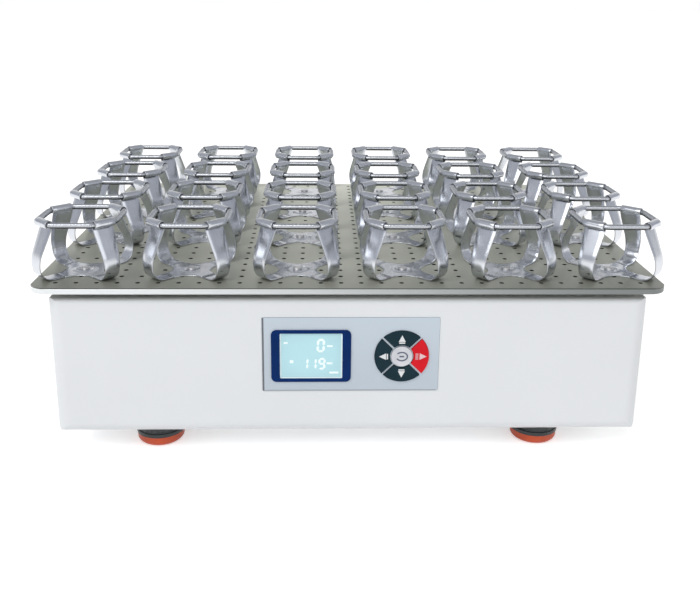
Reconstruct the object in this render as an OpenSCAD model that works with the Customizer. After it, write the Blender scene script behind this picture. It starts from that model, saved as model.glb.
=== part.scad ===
// Orbital shaker with a perforated tray of twenty-four spring flask clamps
// Millimetres, Z up; the origin lies on the bench under the middle of the tray at rest
// A belt turns the main crank, four idler cranks keep the tray square, and the tray moves in a circle

/* [View] */
// piece to draw, or all of them

/* [Tray] */
// width of the tray
tray_w = 590; // [560:5:640]
// depth of the tray
tray_d = 446; // [430:2:480]
// thickness of the tray sheet
tray_t = 3; // [2:0.5:4]
// corner radius of the tray in plan
tray_corner_r = 18; // [12:1:30]
// rounding along the folded edge of the tray
tray_edge_r = 1.6; // [1:0.2:2]
// height of the folded lip, from its lower edge to the tray top
lip_h = 5.6; // [4:0.2:8]
// thickness of the folded lip
lip_t = 2.4; // [1.5:0.1:3]
// bore of the tray holes
hole_d = 4.5; // [4.2:0.1:5.5]
// distance between tray holes
hole_pitch = 18.8; // [18:0.1:19.2]
// hole columns across the tray
hole_cols = 30; // [26:2:30]
// hole rows from front to back
hole_rows = 23; // [19:2:23]
// half the distance between the tray screws
tray_screw_x = 94; // [90:1:110]
// least metal between the screw hole of a clamp and the holes of the grid
clamp_wall = 2; // [1:0.5:4]
// bore for the tray screws
tray_screw_bore = 5.4; // [5.2:0.1:6]

/* [Flask clamps] */
// clamp columns
clamp_cols = 6; // [2:2:6]
// clamp rows
clamp_rows = 4; // [2:2:4]
// distance between clamp columns
clamp_pitch_x = 102; // [98:0.5:102]
// distance between clamp rows
clamp_pitch_y = 113; // [104:0.5:114]
// thickness of the spring strip
strip_t = 1; // [0.8:0.1:1.4]
// width of an arm at its foot
strip_foot_w = 15; // [12:0.5:17]
// width of an arm at its curl
strip_top_w = 18.4; // [16:0.4:20]
// height over the tray where an arm begins to widen
strip_taper_z = 12; // [8:1:16]
// height over the tray where an arm has its full width
strip_full_z = 46; // [40:1:50]
// length of an arm along the tray, from the clamp centre
foot_l = 36; // [33:0.5:37]
// radius of the bend where an arm leaves the tray
foot_bend_r = 13; // [10:0.5:15]
// angle of the bend where an arm leaves the tray
foot_bend_a = 82; // [75:1:88]
// radius of the bulge round the flask
bulge_r = 28; // [22:1:34]
// angle of the bulge round the flask
bulge_a = 32; // [26:1:36]
// straight length of an arm between its bulge and its curl
lean_l = 28; // [24:1:32]
// mean radius of the curl that holds the spring
curl_r = 3.6; // [3.5:0.1:4]
// angle that the curl turns through
curl_a = 255; // [200:5:260]
// radius of the hollow webs between the feet of the arms
web_r = 18; // [14:0.5:20]
// diameter of the clamp screw head
clamp_head_d = 9; // [8:0.5:11]
// height of the clamp screw head
clamp_head_h = 2.6; // [2:0.2:4]
// diameter of the clamp screw shank
clamp_shank_d = 4; // [3:0.5:4]
// width across the corners of the clamp nut
clamp_nut_d = 8; // [7:0.5:9]
// height of the clamp nut
clamp_nut_h = 3.2; // [2.4:0.2:4]

/* [Garter springs] */
// outside diameter of the spring coil
spring_d = 5.6; // [5:0.2:5.8]
// side of the spring that lies in a curl, corner to corner
spring_side = 25; // [24.4:0.2:26]

/* [Housing] */
// width of the housing
body_w = 560; // [540:5:575]
// depth of the housing
body_d = 416; // [400:2:424]
// height of the housing
body_h = 136; // [130:1:142]
// distance from the housing front back to the front edge of the tray
tray_overhang = 5; // [4:1:8]
// wall thickness of the housing
body_t = 2.5; // [2:0.5:3]
// radius of the upright edges of the housing
body_corner_r = 14; // [10:1:24]
// radius of the upper edges of the housing
body_top_r = 5; // [4:0.5:8]
// radius of the lower edges of the housing
body_low_r = 10; // [8:0.5:14]
// gap between the housing and the lip of the tray
lip_gap = 6.4; // [5:0.2:9]
// width of the floor flange inside the housing
flange_w = 75; // [70:1:80]
// gap round each post where it comes through the housing top
post_gap = 4; // [3:0.5:6]
// thickness of the base pan
pan_t = 3; // [2:0.5:4]
// gap between the base pan and the housing walls
pan_gap = 3; // [2:0.5:5]
// cooling slots in the rear wall
vent_count = 14; // [8:1:16]
// width of a cooling slot
vent_w = 3.2; // [3:0.2:4]
// height of a cooling slot
vent_h = 34; // [20:1:40]
// distance between cooling slots
vent_pitch = 8; // [7:0.5:9]
// distance of the cooling slots to the left of the middle, seen from the front
vent_x = 90; // [60:5:140]

/* [Feet] */
// distance between the left and right feet
foot_pitch_x = 376; // [350:2:400]
// distance of the feet from the front and rear of the housing
foot_inset = 39; // [34:1:42]
// diameter of a foot collar
collar_d = 48; // [42:1:52]
// height of a foot collar
collar_h = 14; // [12:1:18]
// depth of the groove round a foot collar
collar_groove = 1.2; // [0.6:0.2:2]
// diameter of a foot pad
pad_d = 46; // [40:1:50]
// height of a foot pad
pad_h = 10; // [8:0.5:12]
// rounding under a foot pad
pad_r = 5; // [3:0.5:7]
// diameter of the stud on a foot
stud_d = 8; // [6:1:10]

/* [Control panel] */
// width of the panel film
panel_w = 166; // [160:1:180]
// height of the panel film
panel_h = 74; // [70:1:78]
// thickness of the panel film
panel_t = 1.2; // [1:0.1:2]
// depth of the recess that the panel film sits in
panel_recess = 0.6; // [0.4:0.1:1]
// height of the middle of the panel over the bench
panel_z = 105; // [98:1:110]
// corner radius of the panel film
panel_corner_r = 1.5; // [1:0.5:4]
// width of the display frame
bezel_w = 74.8; // [70:0.2:80]
// height of the display frame
bezel_h = 52; // [50:0.5:55]
// thickness of the display frame
bezel_t = 1.2; // [0.8:0.1:2]
// corner radius of the display frame
bezel_corner_r = 5; // [3:0.5:8]
// width of the visible part of the display
lcd_w = 58.6; // [54:0.2:64]
// height of the visible part of the display
lcd_h = 45.6; // [40:0.2:47]
// thickness of the display glass
lcd_t = 6; // [4.6:0.2:8]
// hidden margin of the display glass behind its frame
lcd_margin = 1.6; // [1:0.2:2.5]
// distance of the display to the left of the panel middle
lcd_x = 37.2; // [36:0.2:42]
// distance of the display below the panel middle
lcd_drop = 1.2; // [0:0.1:2]
// distance of the key pad to the right of the panel middle
pad_x = 47.9; // [44:0.1:52]
// distance of the key pad below the panel middle
pad_drop = 1.5; // [0:0.1:3]

/* [Keys] */
// outside diameter of the ring of keys
keys_d = 51; // [46:1:54]
// diameter of the centre key
centre_key_d = 19.8; // [18:0.2:22]
// gap between neighbouring keys
key_split = 2.4; // [2:0.1:3]
// clearance between a key and the panel film
key_gap = 0.3; // [0.2:0.05:0.4]
// height of a key over the panel film
key_rise = 1.4; // [1:0.1:2]
// travel of a key
key_travel = 0.6; // [0.4:0.1:0.8]
// width of the rim that holds a key behind the panel film
key_rim = 0.5; // [0.4:0.1:0.6]
// thickness of that rim
key_rim_t = 1.5; // [1:0.1:2]
// diameter of the stem behind a key
key_stem_d = 5; // [4:0.5:6]

/* [Control board] */
// width of the board
board_w = 156; // [150:1:164]
// height of the board
board_h = 64; // [60:1:66]
// thickness of the board
board_t = 1.6; // [1.2:0.2:2]
// length of the board spacers
board_spacer = 13.5; // [12:0.5:16]
// diameter of the board spacers
spacer_d = 6; // [5:0.5:7]
// distance of a spacer from the ends of the board
spacer_inset = 5; // [4:0.5:6]
// side of a key switch on the board
tact_w = 6; // [5:0.5:7]
// height of a key switch on the board
tact_h = 3; // [2:0.5:4]

/* [Rear] */
// distance of the power module to the right of the middle, seen from the front
inlet_x = 170; // [140:2:190]
// height of the middle of the power module over the bench
inlet_z = 74; // [66:1:90]
// width of the power module flange
inlet_w = 74; // [70:1:80]
// height of the power module flange
inlet_h = 34; // [32:1:38]
// thickness of the power module flange
inlet_t = 2; // [1.6:0.2:3]
// depth of the power module body inside the housing
inlet_depth = 24; // [20:1:30]
// width of the body behind the flange
inlet_body_w = 66; // [64:1:68]
// height of the body behind the flange
inlet_body_h = 28; // [26:1:30]
// distance of the socket from the middle of the power module
socket_x = 17; // [15:0.5:19]
// width of the socket
socket_w = 24; // [23:0.5:26]
// height of the socket
socket_h = 17; // [16:0.5:19]
// depth of the socket
socket_depth = 16; // [15:0.5:18]
// length of the socket pins
pin_l = 9; // [7:0.5:9.5]
// width of a socket pin
pin_w = 2; // [1.8:0.1:2.4]
// height of a socket pin
pin_h = 4; // [3.5:0.5:5]
// distance between the outer socket pins
pin_pitch = 14; // [12:0.5:14]
// distance of the rocker from the middle of the power module
rocker_x = 18; // [17:0.5:19]
// width of the rocker
rocker_w = 14; // [12:0.5:16]
// height of the rocker
rocker_h = 22; // [20:0.5:23]
// gap round the rocker
rocker_gap = 0.8; // [0.6:0.1:1]
// angle that the rocker is tilted to either side
rocker_a = 7; // [5:0.5:8]
// rise of the rocker ends over its middle
rocker_rise = 2.4; // [1.5:0.1:3]
// depth of the rocker well
rocker_well = 12; // [11:0.5:15]

/* [Drive] */
// throw of every crank, half the diameter of the orbit
orbit_r = 10; // [6:0.5:10]
// diameter of the main shaft
shaft_d = 25; // [22:1:28]
// diameter of the crank pin
pin_d = 20; // [18:1:22]
// running clearance on the radius of a turning shaft
run_gap = 0.05; // [0.03:0.01:0.08]
// outside diameter of a main bearing
bearing_od = 47; // [46:1:50]
// width of a bearing
bearing_w = 12; // [10:1:12]
// outside diameter of the crank pin bearing
pin_bearing_od = 42; // [40:1:44]
// outside diameter of the main bearing housing
tower_d = 64; // [60:1:70]
// height of the main bearing housing
tower_h = 54.5; // [50:0.5:56]
// diameter of the main bearing housing flange
tower_flange_d = 116; // [110:1:130]
// thickness of the main bearing housing flange
tower_flange_t = 6; // [5:0.5:8]
// diameter of the driven pulley
driven_d = 120; // [110:2:126]
// diameter of the motor pulley
driver_d = 40; // [36:1:44]
// width of both pulleys
pulley_w = 12; // [10:1:12]
// height of the pulley flanges over the belt seat
pulley_lip = 2; // [1.4:0.2:2.2]
// thickness of the pulley flanges
pulley_lip_t = 1.5; // [1:0.1:2]
// thickness of the belt
belt_t = 1.4; // [1:0.1:1.8]
// clearance between the belt and its pulleys
belt_gap = 0.3; // [0.2:0.05:0.4]
// distance from the motor to the main shaft
motor_x = 150; // [140:2:160]
// diameter of the motor
motor_d = 70; // [60:1:76]
// width of the motor foot
motor_foot_w = 84; // [78:1:90]
// thickness of the motor foot
motor_foot_t = 5; // [4:0.5:6]
// diameter of the motor shaft
motor_shaft_d = 10; // [8:1:12]
// thickness of the crank web
web_t = 10; // [8:1:10]
// outside radius of the counterweight
weight_r = 88; // [70:1:90]
// inside radius of the counterweight
weight_in_r = 32; // [30:1:36]
// half the angle of the counterweight
weight_a = 52; // [40:1:60]

/* [Carrier] */
// width of the carrier plate
carrier_w = 450; // [420:2:470]
// depth of the carrier plate
carrier_d = 310; // [296:2:320]
// thickness of the carrier plate
carrier_t = 8; // [7:0.5:9]
// corner radius of the carrier plate
carrier_corner_r = 24; // [16:1:30]
// height of the carrier hub under its plate
hub_h = 15; // [14:0.5:16]
// outside diameter of the carrier hub
hub_d = 60; // [56:1:64]
// diameter of a tray post
post_d = 22; // [18:1:26]
// distance of the lightening slots from the carrier middle
window_x = 152; // [146:1:156]
// width of a lightening slot
window_w = 50; // [40:1:54]
// depth of a lightening slot
window_d = 150; // [120:2:160]

/* [Idler cranks] */
// distance of an idler from the middle, left to right
idler_x = 200; // [196:1:206]
// distance of an idler from the middle, front to back
idler_y = 130; // [122:1:134]
// diameter of the idler pins
idler_pin_d = 12; // [10:1:14]
// outside diameter of an idler bearing
idler_bearing_od = 28; // [26:1:30]
// width of an idler bearing
idler_bearing_w = 8; // [7:0.5:8]
// radius of the idler crank web round each pin
idler_web_r = 11; // [9:0.5:12]
// outside diameter of an idler post
idler_post_d = 38; // [36:1:42]
// height of an idler post
idler_post_h = 78.5; // [76:0.5:79]
// diameter of an idler post flange
idler_flange_d = 64; // [58:1:70]
// thickness of an idler post flange
idler_flange_t = 5; // [4:0.5:6]
// clearance on the radius of the upper idler pins
idler_gap = 0.3; // [0.25:0.05:0.4]

/* [Power supply] */
// width of the power supply
supply_w = 110; // [90:2:120]
// depth of the power supply
supply_d = 60; // [50:2:66]
// height of the power supply
supply_h = 34; // [28:1:40]
// distance of the power supply to the right of the middle
supply_x = 90; // [86:1:96]
// distance of the power supply behind the middle
supply_y = 140; // [134:1:144]

/* [Fasteners] */
// head diameter of the case and tray screws
screw_head_d = 9; // [8:0.5:10]
// head height of the case and tray screws
screw_head_h = 2.8; // [2:0.2:3.4]
// shank diameter of the case and tray screws
screw_d = 5; // [4:0.5:5]
// length of a tray screw below the tray
tray_screw_l = 14; // [10:1:18]
// distance of the case screws from the housing walls
case_screw_inset = 26; // [22:1:30]

/* [Hidden] */
$fn = 48;
foot_h = pad_h + collar_h;
body_top_z = foot_h + body_h;
tray_top = body_top_z + lip_gap + lip_h;
tray_low = tray_top - tray_t;
orbit_y = -orbit_r;
body_y = orbit_y;
body_front = body_y - body_d / 2;
body_back = body_y + body_d / 2;
tray_y = body_front - tray_overhang + tray_d / 2;
floor_z = foot_h + body_t;
pan_top = floor_z + pan_t;
foot_y = [body_front + foot_inset, body_back - foot_inset];
post_hole_d = post_d + 2 * orbit_r + 2 * post_gap;
clamp_x0 = -(clamp_cols - 1) / 2 * clamp_pitch_x;
clamp_y0 = tray_y - (clamp_rows - 1) / 2 * clamp_pitch_y;
reach = 3;
// the straight sides of the belt lie this far inside its bends, so that they meet at a clean edge
belt_tuck = 0.05;
// metal round the idler bearings in the carrier
seat_wall = 6;

// turning points of an arm in its own upright plane, from the clamp centre outwards
bend_end = [foot_l + foot_bend_r * sin(foot_bend_a), strip_t / 2 + foot_bend_r * (1 - cos(foot_bend_a))];
lean_a = foot_bend_a + bulge_a;
bulge_end = bend_end + bulge_r * [sin(lean_a) - sin(foot_bend_a), cos(foot_bend_a) - cos(lean_a)];
lean_end = bulge_end + lean_l * [cos(lean_a), sin(lean_a)];
curl = lean_end + curl_r * [sin(lean_a), -cos(lean_a)];

// garter spring: an eight-sided ring whose short sides lie in the curls
ring_r = (curl[0] + spring_side / 2) / sqrt(2);
ring_half = (curl[0] - spring_side / 2) / sqrt(2);
spring_rows = ceil(clamp_rows / 2);

pad_z = panel_z - pad_drop;
panel_front = body_front - (panel_t - panel_recess);
panel_rear = body_front + panel_recess;
wall_in = body_front + body_t;
board_y = wall_in + board_spacer;
key_stem_end = board_y - tact_h - key_travel - key_gap;
key_r = keys_d / 2;
key_in_r = centre_key_d / 2 + key_split / 2 + 0.2;
well_r = key_r + 2 * key_rim + 1;

tower_top = pan_top + tower_h;
pulley_z = tower_top + 3;
pulley_top = pulley_z + pulley_w;
web_z = pulley_top + 1;
carrier_z = web_z + web_t + hub_h + 3;
carrier_top = carrier_z + carrier_t;
idler_top = pan_top + idler_post_h;
idler_web_z = idler_top + 2;
idler_web_t = 7;
driven_seat_r = driven_d / 2 - pulley_lip;
driver_seat_r = driver_d / 2 - pulley_lip;
motor_top = pulley_z - 4;

KEY_NAMES = ["key_right", "key_up", "key_left", "key_down"];
IDLER_NAMES = ["idler_rear_right", "idler_rear_left", "idler_front_left", "idler_front_right"];
IDLER_SIGNS = [[1, 1], [-1, 1], [-1, -1], [1, -1]];
CLAMP_NAMES = [for (row = [1 : clamp_rows]) for (col = [1 : clamp_cols]) clamp_name(row, col)];

function clamp_name(row, col) = str("flask_clamp_r", row, "c", col);
function clamp_at(row, col) = [clamp_x0 + (col - 1) * clamp_pitch_x, clamp_y0 + (row - 1) * clamp_pitch_y];
function idler_at(i) = [IDLER_SIGNS[i][0] * idler_x, IDLER_SIGNS[i][1] * idler_y];

// rectangle with round corners, about the origin
module rounded_rect(w, d, r) {
    square([w - 2 * r, d], center = true);
    square([w, d - 2 * r], center = true);
    for (sx = [-1, 1])
        for (sy = [-1, 1])
            translate([sx * (w / 2 - r), sy * (d / 2 - r)])
                circle(r);
}

// upright section of a box that stands on zero, with its own lower and upper corner radius
module box_section(w, h, low_r, top_r) {
    translate([-w / 2, low_r])
        square([w, h - low_r - top_r]);
    translate([-w / 2 + top_r, low_r])
        square([w - 2 * top_r, h - low_r]);
    if (low_r > 0)
        translate([-w / 2 + low_r, 0])
            square([w - 2 * low_r, h / 2]);
    for (sx = [-1, 1]) {
        translate([sx * (w / 2 - top_r), h - top_r])
            circle(top_r);
        if (low_r > 0)
            translate([sx * (w / 2 - low_r), low_r])
                circle(low_r);
    }
}

// box with rounded edges: where three sections meet
module soft_box(w, d, h, plan_r, low_r, top_r) {
    intersection() {
        linear_extrude(h)
            rounded_rect(w, d, plan_r);
        rotate([90, 0, 0])
            linear_extrude(d + 2, center = true)
                box_section(w, h, low_r, top_r);
        rotate([90, 0, 90])
            linear_extrude(w + 2, center = true)
                box_section(d, h, low_r, top_r);
    }
}

// places its children on each of four corners
module at_corners(x, y) {
    for (sx = [-1, 1])
        for (sy = [-1, 1])
            translate([sx * x, sy * y, 0])
                children();
}

// slice of a ring of mean radius r and thickness t between two angles
module ring_slice(r, t, from_a, to_a) {
    step = (to_a - from_a) / 4;
    intersection() {
        difference() {
            circle(r + t / 2);
            circle(r - t / 2);
        }
        polygon(concat([[0, 0]], [for (i = [0 : 4]) reach * r * [cos(from_a + i * step), sin(from_a + i * step)]]));
    }
}

// straight run of strip, then its children at the far end
module run(l) {
    translate([0, -strip_t / 2])
        square([l, strip_t]);
    translate([l, 0])
        children();
}

// strip bent to the left, then its children at the far end
module bend_left(r, a) {
    translate([0, r])
        ring_slice(r, strip_t, -90, a - 90);
    translate([r * sin(a), r * (1 - cos(a))])
        rotate(a)
            children();
}

// strip bent to the right
module bend_right(r, a) {
    translate([0, -r])
        ring_slice(r, strip_t, 90 - a, 90);
}

// edge view of one arm with its curl
module arm_section() {
    translate([0, strip_t / 2])
        run(foot_l)
            bend_left(foot_bend_r, foot_bend_a)
                bend_left(bulge_r, bulge_a)
                    run(lean_l)
                        bend_right(curl_r, curl_a);
}

// face view of one arm, wider at its curl
module arm_face() {
    tall = curl[1] + 3 * curl_r;
    polygon([
        [-strip_foot_w / 2, -1], [strip_foot_w / 2, -1], [strip_foot_w / 2, strip_taper_z],
        [strip_top_w / 2, strip_full_z], [strip_top_w / 2, tall], [-strip_top_w / 2, tall],
        [-strip_top_w / 2, strip_full_z], [-strip_foot_w / 2, strip_taper_z]
    ]);
}

module clamp_arm() {
    intersection() {
        rotate([90, 0, 0])
            linear_extrude(strip_top_w, center = true)
                arm_section();
        rotate([90, 0, 90])
            linear_extrude(foot_l + 2 * bulge_r)
                arm_face();
    }
}

// hollow webs that run into the edges of neighbouring feet
module clamp_webs() {
    centre = (web_r + strip_foot_w / 2) * sqrt(2);
    side = (centre / sqrt(2) + strip_foot_w / 2) / sqrt(2);
    difference() {
        square(2 * side, center = true);
        for (a = [0 : 90 : 270])
            rotate(a)
                translate([centre, 0])
                    circle(web_r);
        circle(d = clamp_shank_d + 0.4);
    }
}

// one clamp: four sprung arms in one stamping, bored for its screw
module clamp() {
    color("silver")
        difference() {
            union() {
                for (a = [45 : 90 : 315])
                    rotate(a)
                        clamp_arm();
                linear_extrude(strip_t)
                    clamp_webs();
            }
            translate([0, 0, -1])
                cylinder(d = clamp_shank_d + 0.4, h = strip_t + 2);
        }
}

module at_clamp(row, col) {
    translate([clamp_at(row, col)[0], clamp_at(row, col)[1], tray_top])
        children();
}

// one side of a spring ring along x, cut to meet its neighbours in a mitre
module spring_side_of(l) {
    cut = spring_d * tan(22.5);
    intersection() {
        rotate([0, 90, 0])
            cylinder(d = spring_d, h = l + 4 * spring_d, center = true);
        linear_extrude(2 * spring_d, center = true)
            polygon([
                [-l / 2 - cut, -spring_d], [l / 2 + cut, -spring_d],
                [l / 2 - cut, spring_d], [-l / 2 + cut, spring_d]
            ]);
    }
}

// one closed spring ring, flat, about the origin
module spring_ring() {
    for (a = [0 : 90 : 270])
        rotate(a) {
            translate([0, -ring_r, 0])
                spring_side_of(2 * ring_half);
            rotate(-45)
                translate([curl[0], 0, 0])
                    rotate(90)
                        spring_side_of(spring_side);
        }
}

// the spring rings of some rows of clamps, each lying in the curls of its clamp
module garter_springs(from_row, to_row) {
    color("gainsboro")
        for (row = [from_row : to_row])
            for (col = [1 : clamp_cols])
                at_clamp(row, col)
                    translate([0, 0, curl[1]])
                        spring_ring();
}

// pan head over a shank that hangs from zero
module pan_head(head_d, head_h) {
    rotate_extrude()
        intersection() {
            square([head_d, head_h]);
            union() {
                square([head_d / 2 - head_h / 2, head_h]);
                square([head_d / 2, head_h / 2]);
                translate([head_d / 2 - head_h / 2, head_h / 2])
                    circle(head_h / 2);
            }
        }
}

module clamp_screws() {
    grip = strip_t + tray_t;
    color("lightgray")
        for (row = [1 : clamp_rows])
            for (col = [1 : clamp_cols])
                at_clamp(row, col) {
                    translate([0, 0, strip_t])
                        pan_head(clamp_head_d, clamp_head_h);
                    translate([0, 0, -tray_t - clamp_nut_h - 1])
                        cylinder(d = clamp_shank_d, h = grip + clamp_nut_h + 1.5);
                    translate([0, 0, -tray_t - clamp_nut_h])
                        cylinder(d = clamp_nut_d, h = clamp_nut_h, $fn = 6);
                }
}

function clamp_gap(x, y) = min([for (row = [1 : clamp_rows]) for (col = [1 : clamp_cols]) norm([x, y] - clamp_at(row, col))]);

// the square grid, less the holes that would break into the screw hole of a clamp
module tray_holes() {
    for (i = [0 : hole_cols - 1])
        for (j = [0 : hole_rows - 1]) {
            x = (i - (hole_cols - 1) / 2) * hole_pitch;
            y = tray_y + (j - (hole_rows - 1) / 2) * hole_pitch;
            if (clamp_gap(x, y) > hole_d + clamp_wall)
                translate([x, y])
                    circle(d = hole_d);
        }
    for (row = [1 : clamp_rows])
        for (col = [1 : clamp_cols])
            translate(clamp_at(row, col))
                circle(d = hole_d);
    for (sx = [-1, 1])
        for (sy = [-1, 1])
            translate([sx * tray_screw_x, sy * tray_screw_x])
                circle(d = tray_screw_bore);
}

module tray() {
    color("darkseagreen")
        translate([0, 0, tray_top - lip_h])
            difference() {
                translate([0, tray_y, 0])
                    soft_box(tray_w, tray_d, lip_h, tray_corner_r, 0, tray_edge_r);
                translate([0, tray_y, -1])
                    linear_extrude(lip_h - tray_t + 1)
                        rounded_rect(tray_w - 2 * lip_t, tray_d - 2 * lip_t, tray_corner_r - lip_t);
                translate([0, 0, -1])
                    linear_extrude(lip_h + 2)
                        tray_holes();
            }
}

module tray_screws() {
    color("black")
        at_corners(tray_screw_x, tray_screw_x) {
            translate([0, 0, tray_top])
                pan_head(screw_head_d, screw_head_h);
            translate([0, 0, tray_low - tray_screw_l])
                cylinder(d = screw_d, h = tray_screw_l + tray_t + 1);
        }
}

// openings in the housing front: the panel seat, the display and the key well
module front_openings() {
    translate([0, panel_rear, panel_z])
        rotate([90, 0, 0])
            linear_extrude(panel_recess + 1)
                rounded_rect(panel_w + 0.6, panel_h + 0.6, panel_corner_r + 0.3);
    translate([-lcd_x, body_front, panel_z - lcd_drop])
        cube([lcd_w + 2 * lcd_margin + 1, 4 * body_t, lcd_h + 2 * lcd_margin + 1], center = true);
    translate([pad_x, body_front + 2 * body_t, pad_z])
        rotate([90, 0, 0])
            cylinder(r = well_r, h = 4 * body_t);
}

module rear_openings() {
    translate([inlet_x, body_back, inlet_z])
        cube([inlet_body_w, 4 * body_t, inlet_body_h], center = true);
    for (i = [0 : vent_count - 1])
        translate([(i - (vent_count - 1) / 2) * vent_pitch - vent_x, body_back, inlet_z])
            cube([vent_w, 4 * body_t, vent_h], center = true);
}

module housing() {
    color("white")
        difference() {
            translate([0, body_y, foot_h])
                difference() {
                    soft_box(body_w, body_d, body_h, body_corner_r, body_low_r, body_top_r);
                    translate([0, 0, body_t])
                        soft_box(body_w - 2 * body_t, body_d - 2 * body_t, body_h - 2 * body_t,
                            body_corner_r - body_t, body_low_r - body_t, body_top_r - body_t);
                    translate([0, 0, -1])
                        linear_extrude(body_t + 2)
                            rounded_rect(body_w - 2 * flange_w, body_d - 2 * flange_w, body_corner_r);
                    case_screw_places()
                        cylinder(d = screw_d, h = 4 * body_t, center = true);
                }
            front_openings();
            rear_openings();
            for (x = [-1, 1])
                for (y = foot_y)
                    translate([x * foot_pitch_x / 2, y, foot_h - 1])
                        cylinder(d = stud_d, h = body_t + 2);
            translate([0, orbit_y, body_top_z - 2 * body_t])
                at_corners(tray_screw_x, tray_screw_x)
                    cylinder(d = post_hole_d, h = 3 * body_t);
        }
}

// case screws in the floor flange, about the middle of the housing
module case_screw_places() {
    x = body_w / 2 - case_screw_inset;
    y = body_d / 2 - case_screw_inset;
    at_corners(x, y)
        children();
    at_corners(0, y)
        children();
}

module base_pan() {
    color("dimgray")
        difference() {
            translate([0, body_y, floor_z])
                linear_extrude(pan_t)
                    rounded_rect(body_w - 2 * (body_low_r + pan_gap), body_d - 2 * (body_low_r + pan_gap), body_corner_r);
            for (x = [-1, 1])
                for (y = foot_y)
                    translate([x * foot_pitch_x / 2, y, floor_z - 1])
                        cylinder(d = stud_d, h = pan_t + 2);
            translate([0, body_y, floor_z])
                case_screw_places()
                    cylinder(d = screw_d, h = 4 * pan_t, center = true);
        }
}

// screws that hold the pan to the floor flange, and the nuts of the feet
module case_fasteners() {
    color("darkgray") {
        translate([0, body_y, foot_h])
            case_screw_places() {
                rotate([180, 0, 0])
                    pan_head(screw_head_d, screw_head_h);
                cylinder(d = screw_d, h = body_t + pan_t + 4);
                translate([0, 0, body_t + pan_t])
                    cylinder(d = 1.8 * screw_d, h = 3, $fn = 6);
            }
        for (x = [-1, 1])
            for (y = foot_y)
                translate([x * foot_pitch_x / 2, y, pan_top])
                    difference() {
                        cylinder(d = 1.9 * stud_d, h = 6.4, $fn = 6);
                        translate([0, 0, -1])
                            cylinder(d = stud_d, h = 9);
                    }
    }
}

module foot_collars() {
    r = collar_d / 2;
    color("darkslategray")
        for (x = [-1, 1])
            for (y = foot_y)
                translate([x * foot_pitch_x / 2, y, pad_h]) {
                    rotate_extrude()
                        difference() {
                            union() {
                                square([r - 2, collar_h]);
                                square([r, collar_h - 2]);
                                translate([r - 2, collar_h - 2])
                                    circle(2);
                            }
                            translate([r, collar_h / 3])
                                circle(collar_groove);
                        }
                    translate([0, 0, collar_h])
                        cylinder(d = stud_d, h = body_t + pan_t + 9);
                }
}

module foot_pads() {
    r = pad_d / 2;
    color("orange")
        for (x = [-1, 1])
            for (y = foot_y)
                translate([x * foot_pitch_x / 2, y, 0])
                    rotate_extrude() {
                        square([r - pad_r, pad_h]);
                        translate([0, pad_r])
                            square([r, pad_h - pad_r]);
                        intersection() {
                            translate([r - pad_r, pad_r])
                                circle(pad_r);
                            square([r, pad_h]);
                        }
                    }
}

// outline of one key of the ring: a quarter of a ring, grown by g all round
module quarter_key(g) {
    edge = key_split / 2 - g;
    far = 2 * key_r;
    difference() {
        circle(key_r + g);
        circle(key_in_r - g);
        rotate(45)
            translate([-far, -edge])
                square([2 * far, far]);
        rotate(-45)
            translate([-far, -far + edge])
                square([2 * far, far]);
    }
}

module centre_key(g) {
    circle(centre_key_d / 2 + g);
}

// outline i of the pad: four quarters, then the centre
module key_outline(i, g) {
    if (i < 4)
        rotate(i * 90)
            quarter_key(g);
    else
        centre_key(g);
}

function stem_at(i) = i < 4 ? (key_r + key_in_r) / 2 * [cos(i * 90), sin(i * 90)] : [0, 0];

// brings an outline drawn in x and y to the front face, so that it runs from y = front back by depth
module on_front(x, z, front, depth) {
    translate([x, front + depth, z])
        rotate([90, 0, 0])
            linear_extrude(depth)
                children();
}

module key(i, tint) {
    front = panel_front - key_rise;
    rim_y = panel_rear + key_gap;
    color(tint) {
        on_front(pad_x, pad_z, front, rim_y - front + key_rim_t)
            key_outline(i, 0);
        on_front(pad_x, pad_z, rim_y, key_rim_t)
            key_outline(i, key_rim);
        on_front(pad_x, pad_z, rim_y, key_stem_end - rim_y)
            translate(stem_at(i))
                circle(d = key_stem_d);
    }
}

module control_panel() {
    color("lightsteelblue")
        difference() {
            on_front(0, panel_z, panel_front, panel_t)
                difference() {
                    rounded_rect(panel_w, panel_h, panel_corner_r);
                    translate([-lcd_x, -lcd_drop])
                        square([lcd_w + 2 * lcd_margin, lcd_h + 2 * lcd_margin], center = true);
                }
            on_front(pad_x, pad_z, panel_front - 1, panel_t + 2)
                for (i = [0 : 4])
                    key_outline(i, key_gap);
        }
}

module display_bezel() {
    color("midnightblue")
        on_front(-lcd_x, panel_z - lcd_drop, panel_front - bezel_t, bezel_t)
            difference() {
                rounded_rect(bezel_w, bezel_h, bezel_corner_r);
                rounded_rect(lcd_w, lcd_h, 1);
            }
}

module display() {
    color("powderblue")
        on_front(-lcd_x, panel_z - lcd_drop, panel_front, lcd_t)
            square([lcd_w + 2 * lcd_margin, lcd_h + 2 * lcd_margin], center = true);
}

module control_board() {
    color("darkgreen") {
        on_front(0, panel_z, board_y, board_t)
            square([board_w, board_h], center = true);
        for (sx = [-1, 1])
            for (sz = [-1, 1])
                on_front(sx * (board_w / 2 - spacer_inset), panel_z + sz * (board_h / 2 - spacer_inset), wall_in, board_spacer)
                    circle(d = spacer_d);
        for (i = [0 : 4])
            on_front(pad_x + stem_at(i)[0], pad_z + stem_at(i)[1], board_y - tact_h, tact_h)
                square(tact_w, center = true);
    }
}

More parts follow.
